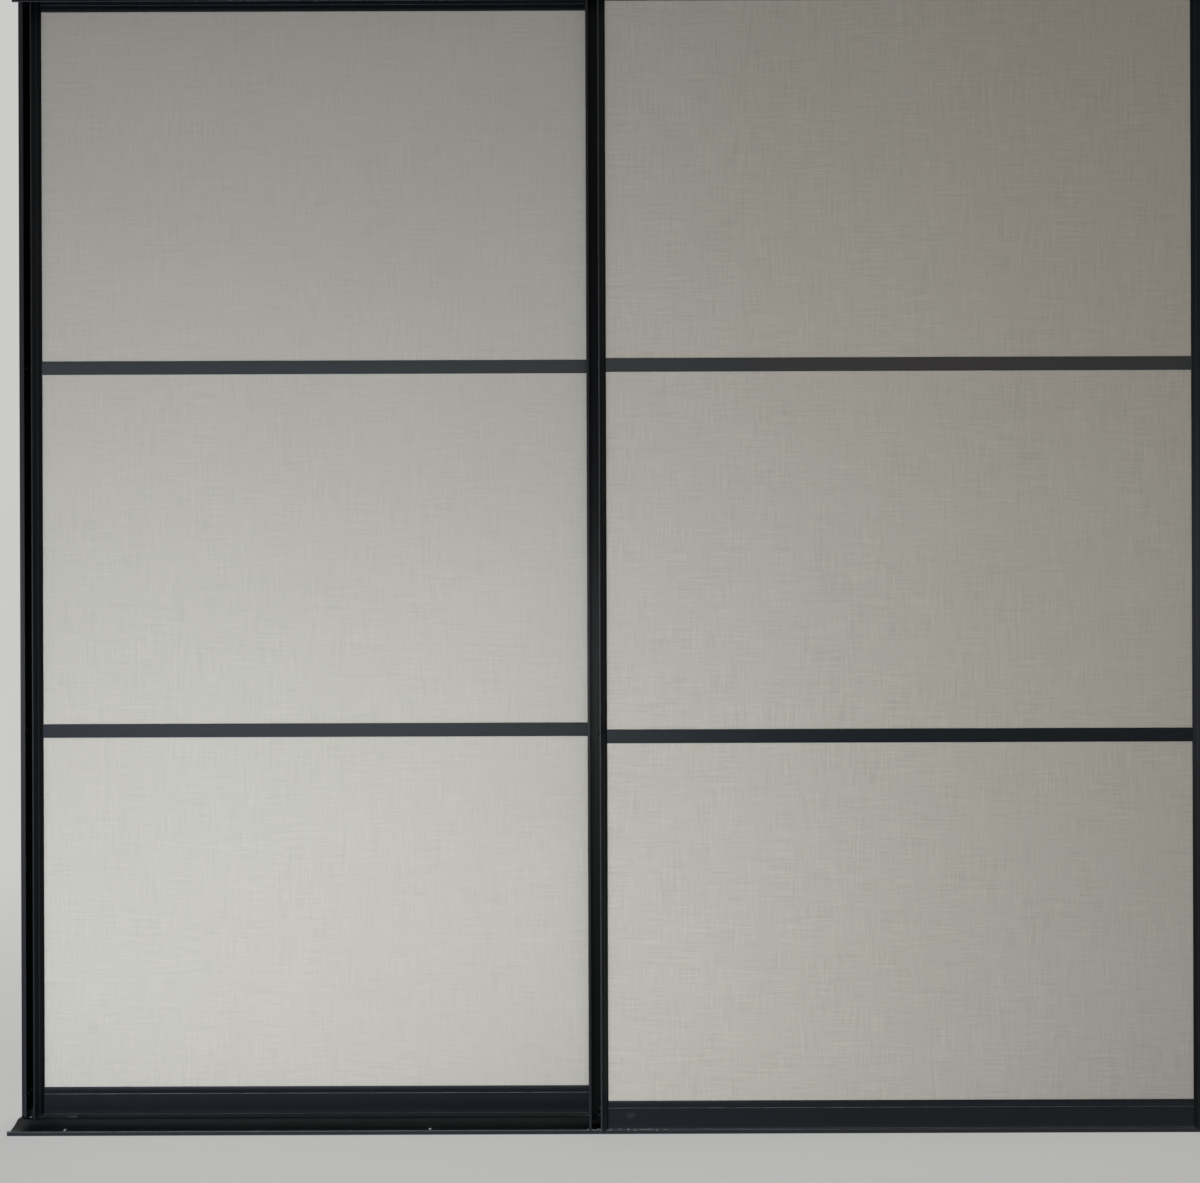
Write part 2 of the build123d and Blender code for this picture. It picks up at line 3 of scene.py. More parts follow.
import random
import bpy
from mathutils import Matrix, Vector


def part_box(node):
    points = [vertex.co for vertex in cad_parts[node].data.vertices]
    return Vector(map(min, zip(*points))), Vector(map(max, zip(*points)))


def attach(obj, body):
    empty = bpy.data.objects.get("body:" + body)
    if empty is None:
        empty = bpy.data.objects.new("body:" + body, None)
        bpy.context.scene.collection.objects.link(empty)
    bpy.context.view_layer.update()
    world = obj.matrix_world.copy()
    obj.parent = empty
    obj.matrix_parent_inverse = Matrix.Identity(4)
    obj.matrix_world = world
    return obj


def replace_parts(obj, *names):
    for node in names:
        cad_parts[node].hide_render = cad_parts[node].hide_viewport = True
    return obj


bl_info = {
    "name": "Sliding wardrobe doors",
    "version": (1, 0, 0),
    "blender": (4, 5, 0),
    "location": "View3D > Sidebar > Wardrobe doors",
    "description": "Finishes and small fittings for a pair of framed sliding wardrobe doors",
    "category": "Object",
}

from math import cos, pi, radians, sin

import bmesh
import bpy
from mathutils import Matrix, Vector

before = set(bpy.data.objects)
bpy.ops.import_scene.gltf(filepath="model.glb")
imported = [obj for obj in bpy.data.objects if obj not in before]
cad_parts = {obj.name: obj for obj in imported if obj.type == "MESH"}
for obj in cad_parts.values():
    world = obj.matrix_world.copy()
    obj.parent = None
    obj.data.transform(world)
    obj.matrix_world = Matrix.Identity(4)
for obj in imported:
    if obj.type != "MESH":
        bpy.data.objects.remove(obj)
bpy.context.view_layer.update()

MM = 0.001
DOORS = ("rear", "front")
SIDES = ("left", "right")
BOARDS = [f"{d}_{n}_panel" for d in DOORS for n in ("bottom", "middle", "top")]

# Sizes of the profiles, which the finishes and the crumbs follow
TRACK_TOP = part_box("bottom_track")[1].z
TRACK_PITCH = 45 * MM
TRACK_LIP = 2.2 * MM
VALLEY_MIDDLE = 15.3 * MM
VALLEY_FLOOR = 2 * MM
VALLEY_RADIUS = 45 * MM
STILE_LIP_SETBACK = 7 * MM


# Node trees


class Graph:
    """Adds nodes to one node tree and joins them. A value is a number, a colour or a socket."""

    def __init__(self, tree):
        self.tree = tree

    def put(self, kind, values=None, **settings):
        new = self.tree.nodes.new(kind)
        for name, value in settings.items():
            setattr(new, name, value)
        for name, value in (values or {}).items():
            self.feed(new.inputs[name], value)
        return new

    def feed(self, socket, value):
        if isinstance(value, bpy.types.NodeSocket):
            self.tree.links.new(value, socket)
        else:
            socket.default_value = value

    def maths(self, operation, *values, clamp=False):
        new = self.put("ShaderNodeMath", operation=operation, use_clamp=clamp)
        for socket, value in zip(new.inputs, values):
            self.feed(socket, value)
        return new.outputs[0]

    def stretch(self, vector, scale, shift=(0, 0, 0)):
        """Scales a pattern's coordinates, so a larger scale gives a finer pattern."""
        values = {"Vector": vector, "Scale": scale, "Location": shift}
        return self.put("ShaderNodeMapping", values).outputs[0]

    def noise(self, vector, detail=2.0, roughness=0.5, scale=1.0):
        values = {"Vector": vector, "Scale": scale, "Detail": detail, "Roughness": roughness}
        return self.put("ShaderNodeTexNoise", values).outputs["Fac"]

    def spread(self, value, low, high, to_low=0.0, to_high=1.0):
        """Maps low to to_low and high to to_high, and stays within them."""
        values = {
            "Value": value, "From Min": low, "From Max": high, "To Min": to_low, "To Max": to_high,
        }
        return self.put("ShaderNodeMapRange", values).outputs[0]

    def blend(self, share, first, second, mode="MIX"):
        new = self.put("ShaderNodeMix", data_type="RGBA", blend_type=mode)
        self.feed(new.inputs[0], share)
        self.feed(new.inputs[6], first)
        self.feed(new.inputs[7], second)
        return new.outputs[2]

    def split(self, vector):
        return self.put("ShaderNodeSeparateXYZ", {"Vector": vector}).outputs

    def place(self):
        return self.put("ShaderNodeTexCoord").outputs["Object"]

    def roughen(self, shader, height, strength, distance):
        """Feeds a height through a bump node to a shader's normal."""
        values = {"Height": height, "Strength": strength, "Distance": distance}
        self.feed(shader.inputs["Normal"], self.put("ShaderNodeBump", values).outputs[0])

    def group(self, name, values):
        """Places a shared node group with this material's values."""
        new = self.put("ShaderNodeGroup", node_tree=GROUPS[name]())
        for socket, value in values.items():
            self.feed(new.inputs[socket], value)
        return new.outputs


def shared_group(name, inputs, outputs):
    """Returns the named group and, if it is new, its graph, its input and its output node."""
    if name in bpy.data.node_groups:
        return bpy.data.node_groups[name], None, None, None
    tree = bpy.data.node_groups.new(name, "ShaderNodeTree")
    for socket, kind, value in inputs:
        made = tree.interface.new_socket(socket, in_out="INPUT", socket_type=kind)
        if value is not None:
            made.default_value = value
    for socket, kind in outputs:
        tree.interface.new_socket(socket, in_out="OUTPUT", socket_type=kind)
    graph = Graph(tree)
    return tree, graph, graph.put("NodeGroupInput"), graph.put("NodeGroupOutput")


FLOAT = "NodeSocketFloat"
VECTOR = "NodeSocketVector"


def die_lines():
    """Fine straight lines along an extrusion. Stretched is the place, scaled along each axis."""
    tree, g, source, sink = shared_group(
        "Die lines", [("Stretched", VECTOR, None)], [("Lines", FLOAT), ("Grain", FLOAT)])
    if g:
        fine = g.noise(source.outputs["Stretched"], detail=3.0, roughness=0.65)
        g.feed(sink.inputs["Lines"], g.spread(fine, 0.32, 0.68))
        grain = g.noise(g.place(), detail=1.0, scale=1400.0)
        g.feed(sink.inputs["Grain"], grain)
    return tree


def settled_dust():
    """Dust that lies on upward faces and gathers towards the floor."""
    tree, g, source, sink = shared_group(
        "Settled dust",
        [("Amount", FLOAT, 0.3), ("Reach", FLOAT, 0.05), ("Ledge", FLOAT, 0.4)],
        [("Dust", FLOAT)])
    if g:
        place = g.place()
        rise = g.maths("DIVIDE", g.split(place)[2], source.outputs["Reach"])
        low = g.maths("SUBTRACT", 1.0, rise, clamp=True)
        low = g.maths("MULTIPLY", low, low)
        normal = g.put("ShaderNodeNewGeometry").outputs["Normal"]
        up = g.spread(g.split(normal)[2], 0.35, 0.95)
        ledge = g.maths("MULTIPLY", up, source.outputs["Ledge"])
        clouds = g.noise(place, detail=5.0, roughness=0.62, scale=26.0)
        specks = g.spread(g.noise(place, detail=2.0, roughness=0.6, scale=420.0), 0.55, 0.72)
        specks = g.maths("MULTIPLY", specks, 0.35)
        speckled = g.maths("ADD", g.spread(clouds, 0.3, 0.7, 0.25, 0.65), specks)
        where = g.maths("MULTIPLY", g.maths("ADD", low, ledge), speckled)
        dust = g.maths("MULTIPLY", where, source.outputs["Amount"], clamp=True)
        g.feed(sink.inputs["Dust"], dust)
    return tree


def thread_noise(g, first, second, along, across, seed, **look):
    """Noise drawn out into threads that run along the first coordinate."""
    stretched = g.put("ShaderNodeCombineXYZ", {
        "X": g.maths("MULTIPLY", first, along), "Y": g.maths("MULTIPLY", second, across), "Z": seed})
    return g.noise(stretched.outputs[0], **look)


def linen_weave():
    """Crossed threads of uneven length, as printed and pressed into a laminate skin."""
    tree, g, source, sink = shared_group(
        "Linen weave",
        [("Thread", FLOAT, 2 * MM), ("Length", FLOAT, 36 * MM)],
        [("Threads", FLOAT), ("Height", FLOAT), ("Clouds", FLOAT)])
    if g:
        place = g.place()
        x, _, z = g.split(place)
        # About one cell of the noise to a thread's width and to its length
        across = g.maths("DIVIDE", 0.55, source.outputs["Thread"])
        along = g.maths("DIVIDE", 0.7, source.outputs["Length"])
        fine_across = g.maths("MULTIPLY", across, 3.2)
        fine_along = g.maths("MULTIPLY", along, 3.0)
        woven = []
        pressed = []
        for first, second, seed in ((x, z, 3.7), (z, x, 91.3)):
            drawn = thread_noise(g, first, second, along, across, seed, detail=2.5, roughness=0.6)
            patch = g.noise(g.stretch(place, (24.0, 24.0, 24.0), (seed, 0, 0)), detail=3.0)
            shown = g.spread(patch, 0.38, 0.62, 0.15, 1.5)
            woven.append(g.maths("MULTIPLY", g.maths("SUBTRACT", drawn, 0.5), shown))
            pressed.append(thread_noise(g, first, second, fine_along, fine_across, 7.7, detail=1.0))
        g.feed(sink.inputs["Threads"], g.spread(g.maths("ADD", *woven), -0.26, 0.26))
        g.feed(sink.inputs["Height"], g.maths("MULTIPLY", g.maths("ADD", *pressed), 0.5))
        g.feed(sink.inputs["Clouds"], g.noise(place, detail=3.0, roughness=0.5, scale=2.2))
    return tree


def rubbed_and_highlighted_edges():
    """Rounded edges that run along X, lighter where the coat has been rubbed thin and where a painted
    highlight is laid on the rounding.
    """
    tree, g, source, sink = shared_group("Rubbed and highlighted edges", [("Amount", FLOAT, 1.0)], [("Rub and highlight", FLOAT)])
    if g:
        _, y, z = g.split(g.put("ShaderNodeNewGeometry").outputs["Normal"])
        # Edges that face up and forward: partly rubbed coat, partly a painted highlight
        edge = g.spread(g.maths("ABSOLUTE", g.maths("MULTIPLY", y, z)), 0.36, 0.46)
        broken = g.noise(g.stretch(g.place(), (28.0, 300.0, 300.0)), detail=4.0, roughness=0.65)
        highlight_and_wear = g.maths("MULTIPLY", edge, g.spread(broken, 0.34, 0.6, 0.35, 1.0))
        g.feed(sink.inputs["Rub and highlight"], g.maths("MULTIPLY", highlight_and_wear, source.outputs["Amount"]))
    return tree


def curved_scuff():
    """One short curved rub mark on an upright face."""
    tree, g, source, sink = shared_group(
        "Curved scuff",
        [("Centre X", FLOAT, 0.0), ("Centre Z", FLOAT, 0.0), ("Radius", FLOAT, 20 * MM),
         ("Half length", FLOAT, 8 * MM), ("Thickness", FLOAT, 1 * MM)],
        [("Scuff", FLOAT)])
    if g:
        place = g.place()
        x, _, z = g.split(place)
        radius = source.outputs["Radius"]
        aside = g.maths("SUBTRACT", x, source.outputs["Centre X"])
        above = g.maths("SUBTRACT", g.maths("SUBTRACT", z, source.outputs["Centre Z"]), radius)
        squares = g.maths("ADD", g.maths("MULTIPLY", aside, aside), g.maths("MULTIPLY", above, above))
        off = g.maths("ABSOLUTE", g.maths("SUBTRACT", g.maths("SQRT", squares), radius))
        off = g.maths("DIVIDE", off, source.outputs["Thickness"])
        line = g.maths("SUBTRACT", 1.0, off, clamp=True)
        to_end = g.maths("DIVIDE", g.maths("ABSOLUTE", aside), source.outputs["Half length"])
        fade = g.maths("SQRT", g.maths("SUBTRACT", 1.0, to_end, clamp=True))
        broken = g.spread(g.noise(place, detail=3.0, scale=900.0), 0.38, 0.58)
        mark = g.maths("MULTIPLY", g.maths("MULTIPLY", line, fade), broken)
        lower = g.maths("LESS_THAN", above, 0.0)
        g.feed(sink.inputs["Scuff"], g.maths("MULTIPLY", mark, lower))
    return tree


GROUPS = {
    "Die lines": die_lines,
    "Settled dust": settled_dust,
    "Linen weave": linen_weave,
    "Rubbed and highlighted edges": rubbed_and_highlighted_edges,
    "Curved scuff": curved_scuff,
}


def new_material(name):
    """A fresh material, its graph and its shader."""
    material = bpy.data.materials.new(name)
    material.use_nodes = True
    graph = Graph(material.node_tree)
    shader = material.node_tree.nodes["Principled BSDF"]
    return material, graph, shader


def shade(colour, factor=1.0):
    """An opaque colour, lighter or darker by a factor."""
    return (colour[0] * factor, colour[1] * factor, colour[2] * factor, 1.0)


def paint_ridge_highlights(g, coated, ridges, wear_and_highlight_colour):
    """Lightens thin lines along an upright profile as painted highlights. A ridge is its plane's Y and
    its share.
    """
    full, none = 0.3 * MM, 0.8 * MM
    for plane, share in ridges:
        off = g.maths("ABSOLUTE", g.maths("SUBTRACT", g.split(g.place())[1], plane))
        coated = g.blend(g.spread(off, full, none, share, 0.0), coated, wear_and_highlight_colour)
    return coated


def blend_scuffs(g, coated, scuffs, wear_and_highlight_colour):
    """Adds curved scuffs. A scuff is its centre's X and Z, radius, half length and thickness."""
    sockets = ("Centre X", "Centre Z", "Radius", "Half length", "Thickness")
    for scuff in scuffs:
        mark = g.group("Curved scuff", dict(zip(sockets, scuff)))["Scuff"]
        coated = g.blend(mark, coated, wear_and_highlight_colour)
    return coated


def black_coat(name, along, finish, tone=1.0, sheen=0.5, reach=0.02, ledge=0.35, rub_and_highlight=0.0,
               scuffs=(), ridges=()):
    """Satin black coat over an extrusion that runs along X or Z.

    tone scales the colour, and some coats set it as painted light: higher for a painted reflection,
    lower for painted shade. sheen is how much the coat mirrors, reach is how high dust lies above
    the floor, ledge how much of it lies on upward faces, and the rub amount how far the rounded
    edges are lightened by wear and by a painted highlight. ridges lays painted highlight lines.
    """
    material, g, shader = new_material(name)
    shader.inputs["Specular IOR Level"].default_value = sheen
    across = 0.6 / finish.line_spacing
    drawn = 0.5
    scale = (drawn, across, across) if along == "X" else (across, across, drawn)
    lines = g.group("Die lines", {"Stretched": g.stretch(g.place(), scale)})
    dust = g.group("Settled dust", {"Amount": finish.dust, "Reach": reach, "Ledge": ledge})["Dust"]
    base = g.blend(lines["Lines"], shade(finish.frame_colour, 0.86 * tone),
                   shade(finish.frame_colour, 1.16 * tone))
    coated = g.blend(dust, base, shade(finish.dust_colour))
    # Rounded edges lightened by rubbed wear and by a painted highlight
    if rub_and_highlight:
        highlight_and_wear = g.group("Rubbed and highlighted edges", {"Amount": rub_and_highlight})["Rub and highlight"]
        coated = g.blend(highlight_and_wear, coated, shade(finish.rub_and_highlight_colour))
    # Painted highlight lines along the profile's ridges
    coated = paint_ridge_highlights(g, coated, ridges, shade(finish.rub_and_highlight_colour))
    coated = blend_scuffs(g, coated, scuffs, shade(finish.rub_and_highlight_colour, 0.6))
    g.feed(shader.inputs["Base Color"], coated)
    dull = finish.frame_roughness
    rough = g.spread(lines["Lines"], 0.0, 1.0, dull - 0.03, dull + 0.05)
    rough = g.maths("ADD", rough, g.maths("MULTIPLY", dust, 0.4), clamp=True)
    g.feed(shader.inputs["Roughness"], rough)
    height = g.maths("ADD", g.maths("MULTIPLY", lines["Lines"], 0.4),
                     g.maths("MULTIPLY", lines["Grain"], 0.6))
    g.roughen(shader, height, 0.12, 0.05 * MM)
    return material


def dress(names, material):
    """Gives CAD nodes a material."""
    for name in names:
        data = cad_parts[name].data
        data.materials.clear()
        data.materials.append(material)


def finish_piece(name, mesh, material, body):
    """Turns a bmesh into a named piece that rides on a body."""
    data = bpy.data.meshes.new(name)
    mesh.to_mesh(data)
    mesh.free()
    piece = bpy.data.objects.new(name, data)
    bpy.context.scene.collection.objects.link(piece)
    data.materials.append(material)
    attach(piece, body)
    return piece


def settings():
    """The finish, fitting and stage settings."""
    scene = bpy.context.scene
    return scene.wardrobe_finish, scene.wardrobe_fittings, scene.wardrobe_stage


# Sizes and colours that a user would change


class FinishSettings(bpy.types.PropertyGroup):
    """Colours and surface sizes."""

    frame_colour: bpy.props.FloatVectorProperty(
        name="Frame colour", description="Colour of the coated aluminium", subtype="COLOR",
        default=(0.0060, 0.0082, 0.0108), min=0, max=1)
    frame_roughness: bpy.props.FloatProperty(
        name="Frame roughness", description="How dull the coat is", default=0.36, min=0, max=1)
    # Colour of the rubbed coat and of the painted highlights on rounded edges, ridges and lips
    rub_and_highlight_colour: bpy.props.FloatVectorProperty(
        name="Rub and highlight colour", description="Colour of the coat where it is rubbed thin", subtype="COLOR",
        default=(0.27, 0.30, 0.32), min=0, max=1)
    line_spacing: bpy.props.FloatProperty(
        name="Line spacing", description="Distance between the fine lines of an extrusion",
        default=0.9 * MM, unit="LENGTH", precision=4)
    board_colour: bpy.props.FloatVectorProperty(
        name="Board colour", description="Colour of the laminate", subtype="COLOR",
        default=(0.491, 0.468, 0.407), min=0, max=1)
    thread_width: bpy.props.FloatProperty(
        name="Thread width", description="Width of one thread of the laminate's weave",
        default=2.0 * MM, unit="LENGTH", precision=4)
    thread_length: bpy.props.FloatProperty(
        name="Thread length", description="Length over which one thread runs before it fades",
        default=36 * MM, unit="LENGTH")
    thread_contrast: bpy.props.FloatProperty(
        name="Thread contrast", description="How far the threads differ from the board's colour",
        default=0.055, min=0, max=0.5)
    dust: bpy.props.FloatProperty(
        name="Dust", description="How much dust has settled on the black parts",
        default=0.22, min=0, max=1)
    dust_colour: bpy.props.FloatVectorProperty(
        name="Dust colour", description="Colour of the settled dust", subtype="COLOR",
        default=(0.26, 0.275, 0.285), min=0, max=1)
    steel_colour: bpy.props.FloatVectorProperty(
        name="Steel colour", description="Colour of the zinc-plated steel", subtype="COLOR",
        default=(0.52, 0.52, 0.53), min=0, max=1)
    nylon_colour: bpy.props.FloatVectorProperty(
        name="Nylon colour", description="Colour of the wheels", subtype="COLOR",
        default=(0.62, 0.61, 0.57), min=0, max=1)
    black_nylon_colour: bpy.props.FloatVectorProperty(
        name="Black nylon colour", description="Colour of the top guides and stops", subtype="COLOR",
        default=(0.012, 0.012, 0.013), min=0, max=1)
    rubber_colour: bpy.props.FloatVectorProperty(
        name="Rubber colour", description="Colour of the buffers", subtype="COLOR",
        default=(0.016, 0.016, 0.016), min=0, max=1)
    dark_steel_colour: bpy.props.FloatVectorProperty(
        name="Dark steel colour", description="Colour of the blackened screws and adjusters",
        subtype="COLOR", default=(0.020, 0.020, 0.022), min=0, max=1)
    pile_colour: bpy.props.FloatVectorProperty(
        name="Pile colour", description="Colour of the brush strips", subtype="COLOR",
        default=(0.022, 0.022, 0.024), min=0, max=1)


class FittingSettings(bpy.types.PropertyGroup):
    """Sizes of the small fittings, and the crumbs."""

    tuft_spacing: bpy.props.FloatProperty(
        name="Tuft spacing", description="Distance between the tufts of a pile strip",
        default=1.9 * MM, unit="LENGTH", precision=4)
    tuft_radius: bpy.props.FloatProperty(
        name="Tuft radius", description="Radius of a tuft at its foot",
        default=0.75 * MM, unit="LENGTH", precision=4)
    thread_pitch: bpy.props.FloatProperty(
        name="Thread pitch", description="Pitch of the assembly and stop screws' threads",
        default=1.6 * MM, unit="LENGTH", precision=4)
    fine_pitch: bpy.props.FloatProperty(
        name="Fine pitch", description="Pitch of the guide screws' threads",
        default=1.2 * MM, unit="LENGTH", precision=4)
    crumb_size: bpy.props.FloatProperty(
        name="Crumb size", description="Radius that the crumbs of plaster take a share of",
        default=1.6 * MM, unit="LENGTH", precision=4)
    crumb_dark: bpy.props.FloatVectorProperty(
        name="Dark crumb colour", description="Darkest colour of the crumbs", subtype="COLOR",
        default=(0.28, 0.27, 0.26), min=0, max=1)
    crumb_light: bpy.props.FloatVectorProperty(
        name="Light crumb colour", description="Lightest colour of the crumbs", subtype="COLOR",
        default=(0.66, 0.65, 0.62), min=0, max=1)


class StageSettings(bpy.types.PropertyGroup):
    """Camera, light and floor."""

    camera_place: bpy.props.FloatVectorProperty(
        name="Camera place", description="Where the camera stands", subtype="TRANSLATION",
        unit="LENGTH", default=(-0.0194, -1.9018, 1.3513))
    camera_roll: bpy.props.FloatProperty(
        name="Camera roll", description="Roll of the camera about its own axis",
        default=radians(-0.2), unit="ROTATION")
    lens: bpy.props.FloatProperty(
        name="Lens", description="Focal length on a 36 mm wide sensor", default=29.55, unit="CAMERA")
    drop: bpy.props.FloatProperty(
        name="Drop", description="Share of the picture's width by which the view is lowered",
        default=0.14)
    floor_colour: bpy.props.FloatVectorProperty(
        name="Floor colour", description="Colour of the floor", subtype="COLOR",
        default=(0.60, 0.60, 0.59), min=0, max=1)
    floor_size: bpy.props.FloatProperty(
        name="Floor size", description="Side of the floor", default=30.0, unit="LENGTH")
    backdrop: bpy.props.FloatProperty(
        name="Backdrop", description="How bright the plain surroundings look",
        default=0.60, min=0, max=1)
    sky: bpy.props.FloatProperty(
        name="Surrounding light", description="Strength of the light from all round", default=0.05)
    light_power: bpy.props.FloatProperty(
        name="Light power", description="Power of which each soft light gives its share",
        default=80.0, unit="POWER")


# Operators


class DOORS_OT_frame(bpy.types.Operator):
    """Gives the two tracks and the side jambs their black coat and the dust of the floor."""

    bl_idname = "wardrobe.frame"
    bl_label = "Tracks and jambs"

    def execute(self, context):
        finish = settings()[0]
        # The rub amounts lighten the tracks' rounded edges by wear and by a painted highlight
        dress(["bottom_track"],
              black_coat("Track coat", "X", finish, sheen=0.35, reach=0.003, ledge=0.18, rub_and_highlight=0.27))
        dress(["top_track"], black_coat("Upper track coat", "X", finish, sheen=0.3, ledge=0.3, rub_and_highlight=0.3))
        dress(["left_jamb", "right_jamb"], black_coat("Jamb coat", "Z", finish, tone=0.7, sheen=0.2))
        return {"FINISHED"}


class DOORS_OT_stiles(bpy.types.Operator):
    """Coats the four upright finger-pull profiles."""

    bl_idname = "wardrobe.stiles"
    bl_label = "Stiles"

    def execute(self, context):
        ridges = []
        # Painted highlight lines on each door's foremost ridge plane and on its lip, brighter on the
        # front door
        for door, highlight_and_wear in (("rear", 0.06), ("front", 0.12)):
            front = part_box(f"{door}_left_stile")[0].y
            ridges += [(front, highlight_and_wear), (front + STILE_LIP_SETBACK, 0.05)]
        # A tone of 0.35 darkens the stiles below the other black parts: painted shade
        coat = black_coat(
            "Stile coat with painted shade and highlights", "Z", settings()[0], tone=0.35, sheen=0.1, ledge=0.3, ridges=ridges)
        dress([f"{d}_{s}_stile" for d in DOORS for s in SIDES], coat)
        return {"FINISHED"}


class DOORS_OT_rails(bpy.types.Operator):
    """Coats the rails. The front door's bottom rail has three small curved scuffs."""

    bl_idname = "wardrobe.rails"
    bl_label = "Rails"

    def execute(self, context):
        finish = settings()[0]
        # The rub amounts lighten the rails' rounded edges by wear and by a painted highlight
        bottom = {"sheen": 0.17, "rub_and_highlight": 1.0}
        coats = {
            "bottom_rail": ("Bottom rail coat", bottom),
            # The cross rails' tone, higher than the bottom and top rails', is painted reflection
            "lower_mid_rail": ("Lower cross rail coat with painted reflection", {"tone": 1.2, "sheen": 0.12, "rub_and_highlight": 0.3}),
            "upper_mid_rail": ("Upper cross rail coat with painted reflection", {"tone": 1.4, "sheen": 0.45, "rub_and_highlight": 0.3}),
            "top_rail": ("Top rail coat", {"sheen": 0.17, "rub_and_highlight": 0.25}),
        }
        for rail, (name, values) in coats.items():
            dress([f"{d}_{rail}" for d in DOORS], black_coat(name, "X", finish, **values))
        scuffs = [
            # centre's X and Z, radius, half length and thickness in mm
            (34, 32.2, 12, 10, 0.8),
            (36, 36.0, 14, 9, 0.6),
            (33, 39.5, 14, 7, 0.5),
        ]
        scuffs = [[size * MM for size in scuff] for scuff in scuffs]
        dress(["front_bottom_rail"],
              black_coat("Scuffed rail coat", "X", finish, scuffs=scuffs, **bottom))
        return {"FINISHED"}


class DOORS_OT_boards(bpy.types.Operator):
    """Gives the six boards their linen-look laminate."""

    bl_idname = "wardrobe.boards"
    bl_label = "Boards"

    def execute(self, context):
        finish = settings()[0]
        for door, strength in (("rear", 0.9), ("front", 1.4)):
            material, g, shader = new_material(f"{door.capitalize()} door laminate")
            shader.inputs["Specular IOR Level"].default_value = 0.25
            weave = g.group("Linen weave", {
                "Thread": finish.thread_width, "Length": finish.thread_length})
            contrast = finish.thread_contrast * strength
            woven = g.blend(weave["Threads"], shade(finish.board_colour, 1 - contrast),
                            shade(finish.board_colour, 1 + contrast))
            clouds = g.spread(weave["Clouds"], 0.3, 0.7)
            tone = g.blend(clouds, (0.975, 0.97, 0.96, 1.0), (1.0, 1.0, 1.0, 1.0))
            g.feed(shader.inputs["Base Color"], g.blend(1.0, woven, tone, mode="MULTIPLY"))
            g.feed(shader.inputs["Roughness"], g.spread(weave["Height"], 0.35, 0.65, 0.52, 0.64))
            height = g.maths("ADD", g.maths("MULTIPLY", weave["Height"], 0.6),
                             g.maths("MULTIPLY", weave["Threads"], 0.4))
            g.roughen(shader, height, 0.25, 0.1 * MM)
            dress([n for n in BOARDS if n.startswith(door)], material)
        return {"FINISHED"}


DUST_ON_PLASTIC = (0.30, 0.28, 0.25, 1.0)


def moulded(name, colour, roughness, grain=700.0):
    """A moulded plastic or rubber with a faint grain."""
    material, g, shader = new_material(name)
    speckle = g.noise(g.place(), detail=4.0, scale=grain)
    tone = g.blend(g.spread(speckle, 0.35, 0.65), shade(colour, 0.9), shade(colour, 1.08))
    dust = g.group("Settled dust", {"Amount": 0.35, "Reach": 30 * MM, "Ledge": 0.3})["Dust"]
    g.feed(shader.inputs["Base Color"], g.blend(dust, tone, DUST_ON_PLASTIC))
    g.feed(shader.inputs["Roughness"], g.spread(speckle, 0.3, 0.7, roughness - 0.05, roughness + 0.07))
    g.roughen(shader, speckle, 0.2, 0.03 * MM)
    return material


def steel_finish(name, colour, roughness):
    """Zinc-plated or blackened steel with a faint rolled grain."""
    material, g, shader = new_material(name)
    shader.inputs["Metallic"].default_value = 1.0
    rolled = g.noise(g.stretch(g.place(), (60.0, 60.0, 900.0)), detail=4.0, roughness=0.6)
    spangle = g.noise(g.place(), detail=2.0, scale=240.0)
    tone = g.blend(g.spread(spangle, 0.35, 0.65), shade(colour, 0.82), shade(colour, 1.1))
    g.feed(shader.inputs["Base Color"], tone)
    g.feed(shader.inputs["Roughness"], g.spread(rolled, 0.3, 0.7, roughness - 0.06, roughness + 0.1))
    g.roughen(shader, rolled, 0.15, 0.03 * MM)
    return material


class DOORS_OT_running_gear(bpy.types.Operator):
    """Finishes the roller carriages, wheels, bearings, axles, top guides, stops and buffers."""

    bl_idname = "wardrobe.running_gear"
    bl_label = "Rollers, guides and stops"

    def execute(self, context):
        finish = settings()[0]
        steel = steel_finish("Zinc-plated steel", finish.steel_colour, 0.34)
        nylon = moulded("Natural nylon", finish.nylon_colour, 0.42)
        black = moulded("Black nylon", finish.black_nylon_colour, 0.5)
        rubber = moulded("Buffer rubber", finish.rubber_colour, 0.72, grain=1100.0)
        ends = [f"{d}_{s}" for d in DOORS for s in SIDES]
        dress([f"{end}_{n}" for end in ends for n in ("roller_carriage", "wheel_bearing")], steel)
        dress([f"{d}_wheel_axles" for d in DOORS], steel)
        dress([f"{end}_wheel" for end in ends], nylon)
        dress([f"{end}_top_guide" for end in ends] + [f"{d}_stop" for d in DOORS], black)
        dress([f"{d}_stop_buffer" for d in DOORS], rubber)
        return {"FINISHED"}


PILE_BASE = 0.9 * MM
TUFT_INSET = 0.8 * MM
STRIP_COPIES = 64


def moved_verts(made):
    """The vertices among what an operator made."""
    return [item for item in made["geom"] if isinstance(item, bmesh.types.BMVert)]


def tuft_rows(strip, start, across, outward, length, rows, count, fitting, seed):
    """Adds upright rows of leaning tufts to a strip, on a wall that faces outward."""
    rng = random.Random(seed)
    spacing = fitting.tuft_spacing
    for i in range(count):
        for row in rows:
            lean = Vector((0, 0, rng.uniform(-0.12, 0.12))) + across * rng.uniform(-0.10, 0.10)
            axis = (outward + lean).normalized()
            reach = length * rng.uniform(0.93, 0.985)
            up = (i + 0.5) * spacing + rng.uniform(-0.25, 0.25) * spacing
            foot = start + across * row + Vector((0, 0, up))
            turn = axis.to_track_quat("Z", "Y").to_matrix().to_4x4()
            bmesh.ops.create_cone(
                strip, cap_ends=False, segments=4, radius1=fitting.tuft_radius,
                radius2=fitting.tuft_radius * 0.35, depth=reach,
                matrix=Matrix.Translation(foot + axis * reach / 2) @ turn)


